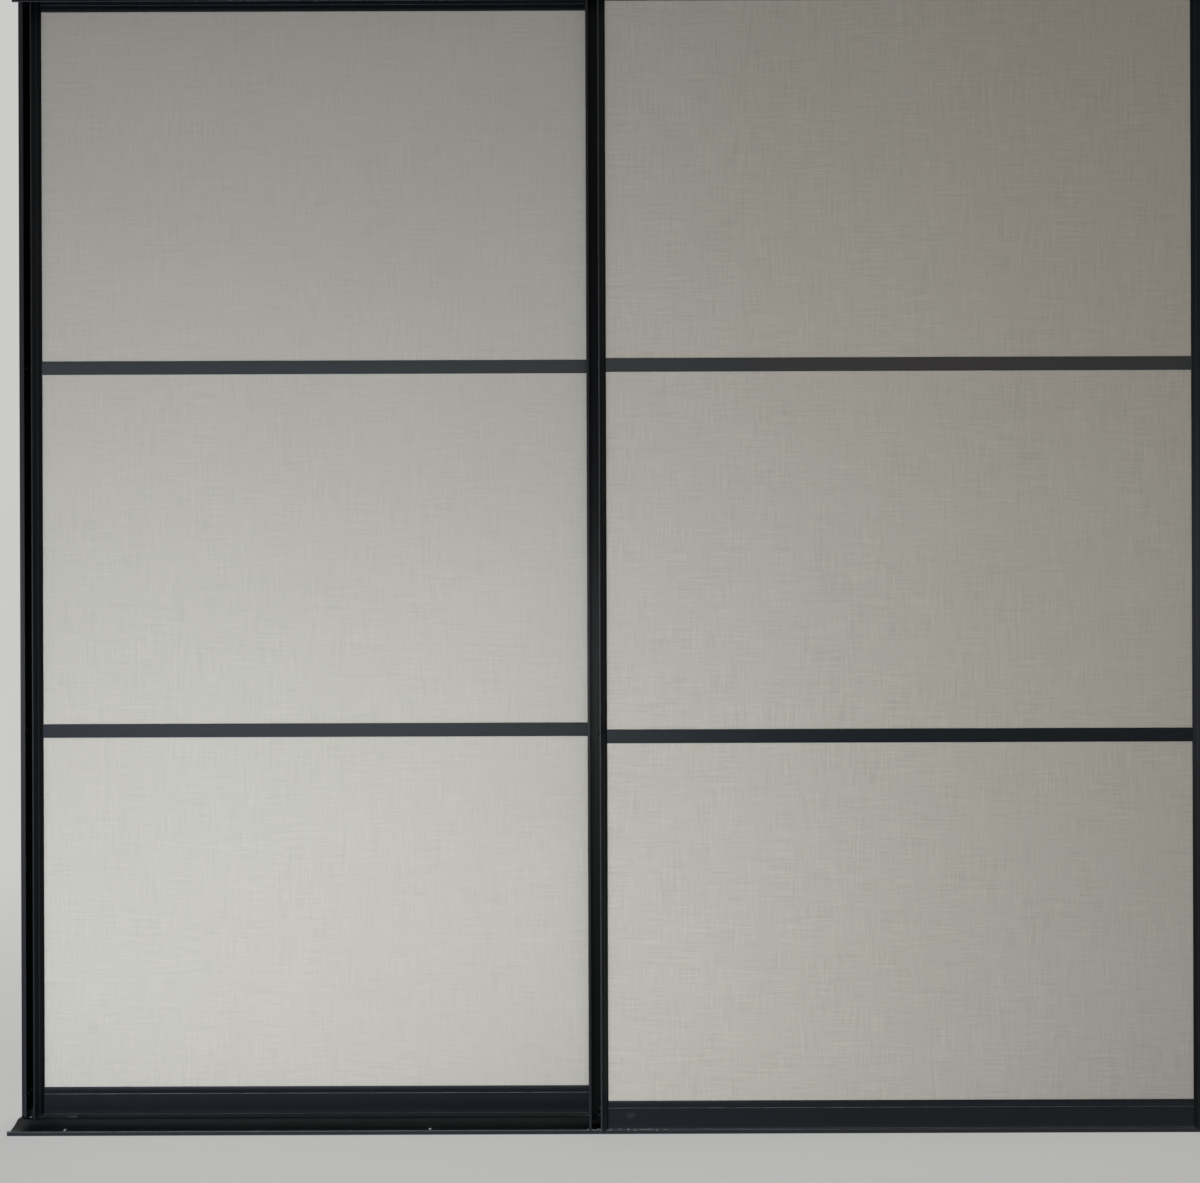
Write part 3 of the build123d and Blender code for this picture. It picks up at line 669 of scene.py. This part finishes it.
def repeat_up(strip, copies, step):
    """Repeats all that the strip holds upwards. copies is a power of two."""
    for i in range(copies.bit_length() - 1):
        made = bmesh.ops.duplicate(strip, geom=strip.verts[:] + strip.edges[:] + strip.faces[:])
        bmesh.ops.translate(strip, vec=(0, 0, step * 2**i), verts=moved_verts(made))


class DOORS_OT_pile_strips(bpy.types.Operator):
    """Makes the brush strips: a woven base with leaning tufts."""

    bl_idname = "wardrobe.pile_strips"
    bl_label = "Pile strips"

    def execute(self, context):
        finish, fitting, _ = settings()
        material, g, shader = new_material("Pile")
        shader.inputs["Roughness"].default_value = 0.85
        shader.inputs["Sheen Weight"].default_value = 0.25
        hairs = g.noise(g.stretch(g.place(), (2200.0, 2200.0, 2200.0)), detail=2.0)
        g.feed(shader.inputs["Base Color"], g.blend(
            g.spread(hairs, 0.3, 0.7), shade(finish.pile_colour, 0.6), shade(finish.pile_colour, 1.5)))
        g.roughen(shader, hairs, 0.4, 0.1 * MM)
        plans = [
            # node, body, the way the tufts point, the way the rows lie beside each other, width in mm
            ("left_jamb_seal", "frame", Vector((1, 0, 0)), Vector((0, 1, 0)), 5.0),
            ("right_jamb_seal", "frame", Vector((-1, 0, 0)), Vector((0, 1, 0)), 5.0),
            ("front_meeting_seal", "front_door", Vector((0, 1, 0)), Vector((1, 0, 0)), 2.8),
        ]
        for seed, (node, body, outward, across, width) in enumerate(plans):
            low, high = (Vector(corner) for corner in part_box(node))
            size = high - low
            middle = (low + high) / 2
            depth = abs(size.dot(outward))
            back = middle - outward * depth / 2
            strip = bmesh.new()
            section = size.z / STRIP_COPIES
            count = max(1, int(section / fitting.tuft_spacing))
            start = Vector((back.x, back.y, low.z)) + outward * PILE_BASE
            rows = [side * (width * MM / 2 - TUFT_INSET) for side in (-1, 0, 1)]
            tuft_rows(strip, start, across, outward, depth - PILE_BASE, rows, count, fitting, seed)
            repeat_up(strip, STRIP_COPIES, section)
            plate = Vector((
                PILE_BASE if outward.x else size.x, PILE_BASE if outward.y else size.y, size.z))
            centre = Vector((back.x, back.y, middle.z)) + outward * PILE_BASE / 2
            block = bmesh.ops.create_cube(
                strip, size=1.0,
                matrix=Matrix.Translation(centre) @ Matrix.Diagonal((*plate, 1)))["verts"]
            rims = [e for e in strip.edges if all(v in block for v in e.verts)]
            bmesh.ops.bevel(
                strip, geom=rims, offset=PILE_BASE * 0.3, offset_type="OFFSET", affect="EDGES",
                segments=2, profile=0.5, material=-1, clamp_overlap=True)
            piece = finish_piece(f"{node}_brush", strip, material, body)
            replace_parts(piece, node)
        return {"FINISHED"}


def cross_head(screw, radius, height):
    """A pan head above z = 0 with a cross recess in its top, around Z."""
    arm = radius * 0.55
    half = radius * 0.15
    depth = min(height * 0.6, 1.5 * MM)
    square = bmesh.ops.create_grid(screw, x_segments=1, y_segments=1, size=half)["verts"]
    bmesh.ops.translate(screw, verts=square, vec=(0, 0, height - depth))
    for edge in [e for e in screw.edges if e.is_boundary]:
        out = (edge.verts[0].co + edge.verts[1].co) / 2
        out = Vector((out.x, out.y, 0)).normalized()
        grown = bmesh.ops.extrude_edge_only(screw, edges=[edge])
        bmesh.ops.translate(screw, verts=moved_verts(grown), vec=out * (arm - half))
    grown = bmesh.ops.extrude_edge_only(screw, edges=[e for e in screw.edges if e.is_boundary])
    bmesh.ops.translate(screw, verts=moved_verts(grown), vec=(0, 0, depth))
    inner = [e for e in screw.edges if e.is_boundary]
    ring = bmesh.ops.create_circle(screw, cap_ends=False, segments=24, radius=radius * 0.72)["verts"]
    bmesh.ops.translate(screw, verts=ring, vec=(0, 0, height))
    outer = [e for e in screw.edges if all(v in ring for v in e.verts)]
    bmesh.ops.bridge_loops(screw, edges=inner + outer)
    crown = [
        # share of the radius and of the height, from the top down
        (0.93, 0.9), (1.0, 0.62), (1.0, 0.0),
    ]
    for wide, high in crown:
        grown = bmesh.ops.extrude_edge_only(screw, edges=outer)
        verts = moved_verts(grown)
        outer = [e for e in screw.edges if all(v in verts for v in e.verts)]
        size = radius * wide / Vector(verts[0].co[:2]).length
        bmesh.ops.scale(screw, verts=verts, vec=(size, size, 1))
        bmesh.ops.translate(screw, verts=verts, vec=(0, 0, height * high - verts[0].co.z))
    bmesh.ops.contextual_create(screw, geom=outer)


def threaded_shank(screw, radius, length, pitch, plain):
    """A shank below z = 0, plain under the head and then threaded down to its tip."""
    root = radius * 0.8
    cone = radius * 0.9
    profile = [
        (0, 0, 0), (radius, 0, 0), (radius, 0, -plain), (root, 0, -plain - radius * 0.2),
        (root, 0, -length + cone), (root * 0.35, 0, -length), (0, 0, -length),
    ]
    verts = [screw.verts.new(point) for point in profile]
    edges = [screw.edges.new(pair) for pair in zip(verts, verts[1:])]
    bmesh.ops.spin(screw, geom=verts + edges, cent=(0, 0, 0), axis=(0, 0, 1),
                   angle=2 * pi, steps=16, use_merge=True)
    turns = int((length - plain - cone) / pitch) - 1
    top = -plain - radius * 0.25
    foot = root * 0.97
    ridge = [screw.verts.new(point) for point in (
        (foot, 0, top), (radius, 0, top - pitch * 0.3), (foot, 0, top - pitch * 0.6))]
    face = screw.faces.new(ridge)
    steps = 12
    bmesh.ops.spin(screw, geom=[face], cent=(0, 0, 0), axis=(0, 0, 1),
                   dvec=(0, 0, -pitch / steps), angle=2 * pi * turns, steps=steps * turns)


SCREWS = {
    # radius, head's radius and height, length and plain part of the shank in mm
    "assembly": (1.9, 3.6, 2.6, 40.3, 14.0),
    "guide": (1.8, 3.2, 1.4, 11.1, 1.0),
    "stop": (2.0, 3.8, 2.4, 14.3, 1.0),
}


def screw_master(kind, pitch):
    """One cross-recessed screw, its head above z = 0 and its shank below, and the head's height."""
    radius, head_radius, head, length, plain = (size * MM for size in SCREWS[kind])
    screw = bmesh.new()
    threaded_shank(screw, radius, length, pitch, plain)
    cap = bmesh.new()
    cross_head(cap, head_radius, head)
    data = bpy.data.meshes.new("cap")
    cap.to_mesh(data)
    cap.free()
    screw.from_mesh(data)
    bpy.data.meshes.remove(data)
    bmesh.ops.recalc_face_normals(screw, faces=screw.faces[:])
    return screw, head


def solids_in(node):
    """The low and high corners of each separate solid in a CAD node."""
    merged = bmesh.new()
    merged.from_mesh(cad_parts[node].data)
    bmesh.ops.remove_doubles(merged, verts=merged.verts[:], dist=0.001 * MM)
    left = set(merged.verts)
    boxes = []
    while left:
        found = {left.pop()}
        edge = list(found)
        while edge:
            near = {e.other_vert(v) for v in edge for e in v.link_edges} & left
            left -= near
            found |= near
            edge = list(near)
        places = [v.co for v in found]
        boxes.append((Vector(min(p[i] for p in places) for i in range(3)),
                      Vector(max(p[i] for p in places) for i in range(3))))
    merged.free()
    return sorted(boxes, key=lambda box: tuple(round(n, 5) for n in box[0]))


def set_screws(name, node, kind, pitch, facing, material, body):
    """Puts a copy of a screw at each solid of a CAD node. facing gives the way each head faces."""
    master, head = screw_master(kind, pitch)
    data = bpy.data.meshes.new("screw")
    master.to_mesh(data)
    master.free()
    group = bmesh.new()
    for low, high in solids_in(node):
        middle = (low + high) / 2
        way = facing(middle)
        seat = middle + way * (abs((high - low).dot(way)) / 2 - head)
        start = len(group.verts)
        group.from_mesh(data)
        group.verts.ensure_lookup_table()
        turn = way.to_track_quat("Z", "Y").to_matrix().to_4x4()
        bmesh.ops.transform(
            group, matrix=Matrix.Translation(seat) @ turn, verts=group.verts[start:])
    bpy.data.meshes.remove(data)
    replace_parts(finish_piece(name, group, material, body), node)


class DOORS_OT_screws(bpy.types.Operator):
    """Makes the screws with cross recesses and threads, and finishes the hexagon adjusters."""

    bl_idname = "wardrobe.screws"
    bl_label = "Screws"

    def execute(self, context):
        finish, fitting, _ = settings()
        steel = steel_finish("Screw steel", finish.steel_colour, 0.3)
        dark = steel_finish("Blackened steel", finish.dark_steel_colour, 0.5)
        dress([f"{d}_adjusting_screws" for d in DOORS], dark)
        for door in DOORS:
            low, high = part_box(f"{door}_bottom_rail")
            middle = (low.x + high.x) / 2
            set_screws(
                f"{door}_long_screws", f"{door}_assembly_screws", "assembly", fitting.thread_pitch,
                lambda at: Vector((-1, 0, 0)) if at.x < middle else Vector((1, 0, 0)),
                dark, f"{door}_door")
            set_screws(
                f"{door}_guide_fixings", f"{door}_guide_screws", "guide", fitting.fine_pitch,
                lambda at: Vector((0, 1, 0)), steel, f"{door}_door")
        set_screws("stop_fixings", "stop_screws", "stop", fitting.thread_pitch,
                   lambda at: Vector((0, 0, -1)), steel, "frame")
        return {"FINISHED"}


FLAKE_THICKNESS = 0.2 * MM
FLAKE_LIFT = 0.12 * MM
CRUMB_UNEVENNESS = 0.18
CRUMB_CLUSTERS = (
    # from X, to X, how many, share of the crumb size, nearest and farthest behind the lip's face,
    # lengths in mm
    (-52, -4, 18, 0.50, 0.4, 2.0),
    (4, 30, 4, 0.50, 0.5, 2.0),
    (28, 104, 26, 0.45, 0.2, 2.0),
    (-1134, -1128, 3, 0.80, 42.4, 43.6),
    (-1063, -1057, 2, 0.70, 42.4, 43.6),
    (-1000, -100, 22, 0.50, 2.6, 9.5),
    (150, 1100, 26, 0.45, 2.6, 5.5),
)
FLAKES = (
    # X, distance behind the lip's face, length and width in mm, curl and turn about Z in degrees
    (-48.5, 0.6, 4.5, 1.4, 20, 20),
    (-37.0, 0.8, 5.5, 1.6, 20, -25),
    (-31.0, 0.4, 5.0, 1.5, 20, 40),
    (-25.0, 0.9, 5.0, 1.6, 20, 70),
    (-16.0, 0.5, 5.5, 1.8, 20, -40),
    (-7.2, -1.4, 11.0, 2.2, 97, 0),
    (28.0, 0.3, 5.0, 1.2, 20, 8),
    (40.0, 0.2, 5.5, 1.3, 20, -12),
    (54.0, 0.4, 4.5, 1.4, 20, 30),
    (64.0, 0.1, 5.5, 1.5, 20, -8),
    (82.0, 0.2, 5.5, 1.6, 20, -35),
    (97.0, 0.3, 4.5, 1.3, 20, 55),
    (-1148.6, 1.0, 5.0, 2.2, 20, 15),
)


def valley_height(off):
    """Height of the lower track's top, at a distance behind the front lip's face."""
    if off < TRACK_LIP:
        return TRACK_TOP
    if off > VALLEY_MIDDLE + TRACK_PITCH / 2:
        off -= TRACK_PITCH
    drop = max(0.0, VALLEY_RADIUS**2 - (off - VALLEY_MIDDLE) ** 2) ** 0.5
    return min(TRACK_TOP, VALLEY_FLOOR + VALLEY_RADIUS - drop)


def curled_flake(heap, place, length, width, curl, turn):
    """A thin sliver of scraped film that lies along X and curls up towards its far end."""
    made = bmesh.ops.create_grid(heap, x_segments=7, y_segments=2, size=0.5)["verts"]
    radius = length / curl
    for v in made:
        share = v.co.x + 0.5
        taper = 1 - 0.6 * abs(2 * share - 0.9)
        v.co = Vector((
            radius * sin(curl * share), v.co.y * width * taper, radius * (1 - cos(curl * share))))
    faces = list(dict.fromkeys(f for v in made for f in v.link_faces))
    grown = bmesh.ops.solidify(heap, geom=faces, thickness=FLAKE_THICKNESS)
    verts = list(dict.fromkeys(made + moved_verts(grown)))
    matrix = Matrix.Translation(place) @ Matrix.Rotation(turn, 4, "Z")
    bmesh.ops.transform(heap, matrix=matrix, verts=verts)


def crumb(heap, rng, x, front, off, size):
    """An uneven lump that lies in the lower track, at a distance behind the front lip's face."""
    sunk = size * 0.45
    place = (x, front + off, valley_height(off) + sunk)
    flat = (rng.uniform(0.9, 1.6), rng.uniform(0.7, 1.1), rng.uniform(0.5, 0.8), 1)
    made = bmesh.ops.create_icosphere(
        heap, subdivisions=1, radius=size,
        matrix=Matrix.Translation(place) @ Matrix.Diagonal(flat))
    for v in made["verts"]:
        dent = Vector((rng.uniform(-1, 1), rng.uniform(-1, 1), rng.uniform(-1, 1)))
        v.co += dent * size * CRUMB_UNEVENNESS


class DOORS_OT_crumbs(bpy.types.Operator):
    """Scatters crumbs and curled flakes on the lower track, below the doors' edges."""

    bl_idname = "wardrobe.crumbs"
    bl_label = "Crumbs"

    def execute(self, context):
        fitting = settings()[1]
        material, g, shader = new_material("Plaster crumbs")
        shader.inputs["Roughness"].default_value = 0.9
        grit = g.noise(g.place(), detail=5.0, scale=900.0)
        g.feed(shader.inputs["Base Color"], g.blend(
            g.spread(grit, 0.3, 0.7), shade(fitting.crumb_dark), shade(fitting.crumb_light)))
        g.roughen(shader, grit, 0.6, 0.3 * MM)
        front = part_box("bottom_track")[0].y
        rng = random.Random(41)
        heap = bmesh.new()
        for from_x, to_x, count, scale, near, far in CRUMB_CLUSTERS:
            for _ in range(count):
                size = fitting.crumb_size * scale * rng.uniform(0.35, 1.0)
                x = rng.uniform(from_x, to_x) * MM
                off = rng.uniform(near, far) * MM
                crumb(heap, rng, x, front, off, size)
        for x, off, length, width, curl, turn in FLAKES:
            place = (x * MM, front + off * MM, TRACK_TOP + FLAKE_LIFT)
            curled_flake(heap, place, length * MM, width * MM, radians(curl), radians(turn))
        finish_piece("track_crumbs", heap, material, "frame")
        return {"FINISHED"}


BACKDROP_COLOUR = (1.0, 1.0, 0.985, 1.0)
# The floor shows its own light near the doors and the backdrop's away from them, in m
SHADE_HALF_WIDTH = 1.1
SHADE_NEAR = 0.25
SHADE_FAR = 1.3
LIGHTS = (
    # name, place and aim in m, share of the power, width and height in m, colour
    ("side light", (-3.0, -2.3, 0.50), (0.0, 0.0, 0.1), 0.25, (2.4, 0.9), (1.00, 1.00, 1.00)),
    ("left light", (-1.35, -2.2, 0.34), (-0.4, 0.0, 0.0), 0.40, (1.4, 0.5), (0.79, 0.84, 1.00)),
    ("middle light", (-0.3, -2.4, 0.34), (-0.15, 0.0, 0.1), 0.27, (1.4, 0.5), (0.96, 1.00, 0.99)),
    ("floor light", (-0.4, -0.9, 0.10), (-0.4, 0.0, 0.12), 0.013, (1.8, 0.3), (0.93, 1.00, 1.00)),
    ("warm light", (1.2, -1.8, 1.80), (0.9, 0.0, 1.4), 0.025, (1.2, 1.0), (1.00, 0.60, 0.25)),
    ("back light", (0.3, 2.80, 2.60), (0.0, 0.0, 0.9), 0.75, (3.0, 1.2), (1.00, 0.99, 0.97)),
)


def area_light(name, place, aim, power, size, colour):
    """A soft rectangular light that looks at a point."""
    light = bpy.data.lights.new(name, "AREA")
    light.shape = "RECTANGLE"
    light.size, light.size_y = size
    light.energy = power
    light.color = colour
    lamp = bpy.data.objects.new(name, light)
    bpy.context.scene.collection.objects.link(lamp)
    lamp.location = place
    lamp.rotation_euler = (Vector(aim) - Vector(place)).to_track_quat("-Z", "Y").to_euler()


def seen_share(g):
    """1 for rays that show the backdrop, by sight, in a gloss or through glass."""
    path = g.put("ShaderNodeLightPath")
    share = g.maths("MAXIMUM", path.outputs["Is Camera Ray"], path.outputs["Is Glossy Ray"])
    return g.maths("MAXIMUM", share, path.outputs["Is Transmission Ray"])


def floor_material(stage):
    """A pale matt floor that shows the backdrop's brightness away from the doors."""
    material, g, shader = new_material("Pale floor")
    shader.inputs["Roughness"].default_value = 0.7
    clouds = g.noise(g.place(), detail=3.0, scale=0.8)
    g.feed(shader.inputs["Base Color"], g.blend(
        g.spread(clouds, 0.3, 0.7), shade(stage.floor_colour, 0.98), shade(stage.floor_colour, 1.02)))
    glow = g.put("ShaderNodeEmission", {"Color": BACKDROP_COLOUR, "Strength": stage.backdrop})
    x, y, _ = g.split(g.place())
    beside = g.maths("MAXIMUM", g.maths("SUBTRACT", g.maths("ABSOLUTE", x), SHADE_HALF_WIDTH), 0.0)
    squares = g.maths("ADD", g.maths("MULTIPLY", beside, beside), g.maths("MULTIPLY", y, y))
    share = g.spread(g.maths("SQRT", squares), SHADE_NEAR, SHADE_FAR, 0.7, 0.985)
    mix = g.put("ShaderNodeMixShader")
    g.feed(mix.inputs[0], g.maths("MULTIPLY", seen_share(g), share))
    g.feed(mix.inputs[1], shader.outputs[0])
    g.feed(mix.inputs[2], glow.outputs[0])
    g.feed(material.node_tree.nodes["Material Output"].inputs["Surface"], mix.outputs[0])
    return material


def soft_surroundings(stage):
    """A world that lights weakly and evenly and looks like the backdrop."""
    world = bpy.data.worlds.new("Soft surroundings")
    world.use_nodes = True
    g = Graph(world.node_tree)
    light = world.node_tree.nodes["Background"]
    light.inputs["Color"].default_value = (1.0, 1.0, 1.0, 1.0)
    light.inputs["Strength"].default_value = stage.sky
    seen = g.put("ShaderNodeBackground", {"Color": BACKDROP_COLOUR, "Strength": stage.backdrop})
    mix = g.put("ShaderNodeMixShader")
    g.feed(mix.inputs[0], seen_share(g))
    g.feed(mix.inputs[1], light.outputs[0])
    g.feed(mix.inputs[2], seen.outputs[0])
    g.feed(world.node_tree.nodes["World Output"].inputs["Surface"], mix.outputs[0])
    return world


class DOORS_OT_stage(bpy.types.Operator):
    """Sets the pale floor, the soft light and the camera."""

    bl_idname = "wardrobe.stage"
    bl_label = "Stage"

    def execute(self, context):
        stage = settings()[2]
        scene = context.scene
        scene.view_settings.view_transform = "Standard"

        ground = bmesh.new()
        bmesh.ops.create_grid(ground, x_segments=2, y_segments=2, size=stage.floor_size / 2)
        data = bpy.data.meshes.new("floor")
        ground.to_mesh(data)
        ground.free()
        data.materials.append(floor_material(stage))
        floor = bpy.data.objects.new("floor", data)
        scene.collection.objects.link(floor)

        scene.world = soft_surroundings(stage)
        for name, place, aim, share, size, colour in LIGHTS:
            area_light(name, place, aim, stage.light_power * share, size, colour)

        eye = bpy.data.cameras.new("camera")
        eye.lens = stage.lens
        eye.sensor_width = 36.0
        eye.shift_y = -stage.drop
        camera = bpy.data.objects.new("camera", eye)
        scene.collection.objects.link(camera)
        turn = Matrix.Rotation(pi / 2, 4, "X") @ Matrix.Rotation(stage.camera_roll, 4, "Z")
        camera.matrix_world = Matrix.Translation(stage.camera_place) @ turn
        scene.camera = camera
        return {"FINISHED"}


class DOORS_PT_panel(bpy.types.Panel):
    """Lists the sizes, colours and steps of the wardrobe doors."""

    bl_idname = "DOORS_PT_panel"
    bl_label = "Wardrobe doors"
    bl_space_type = "VIEW_3D"
    bl_region_type = "UI"
    bl_category = "Wardrobe doors"

    def draw(self, context):
        for group in settings():
            box = self.layout.box()
            for name in group.bl_rna.properties.keys():
                if name not in ("rna_type", "name"):
                    box.prop(group, name)
        for operator in OPERATORS:
            self.layout.operator(operator.bl_idname)


OPERATORS = (
    DOORS_OT_frame, DOORS_OT_stiles, DOORS_OT_rails, DOORS_OT_boards, DOORS_OT_running_gear,
    DOORS_OT_pile_strips, DOORS_OT_screws, DOORS_OT_crumbs, DOORS_OT_stage,
)
CLASSES = (FinishSettings, FittingSettings, StageSettings) + OPERATORS + (DOORS_PT_panel,)


def register():
    for cls in CLASSES:
        bpy.utils.register_class(cls)
    bpy.types.Scene.wardrobe_finish = bpy.props.PointerProperty(type=FinishSettings)
    bpy.types.Scene.wardrobe_fittings = bpy.props.PointerProperty(type=FittingSettings)
    bpy.types.Scene.wardrobe_stage = bpy.props.PointerProperty(type=StageSettings)


def unregister():
    del bpy.types.Scene.wardrobe_stage
    del bpy.types.Scene.wardrobe_fittings
    del bpy.types.Scene.wardrobe_finish
    for cls in reversed(CLASSES):
        bpy.utils.unregister_class(cls)


def main():
    register()
    bpy.ops.wardrobe.frame()
    bpy.ops.wardrobe.stiles()
    bpy.ops.wardrobe.rails()
    bpy.ops.wardrobe.boards()
    bpy.ops.wardrobe.running_gear()
    bpy.ops.wardrobe.pile_strips()
    bpy.ops.wardrobe.screws()
    bpy.ops.wardrobe.crumbs()
    bpy.ops.wardrobe.stage()


if __name__ == "__main__":
    main()
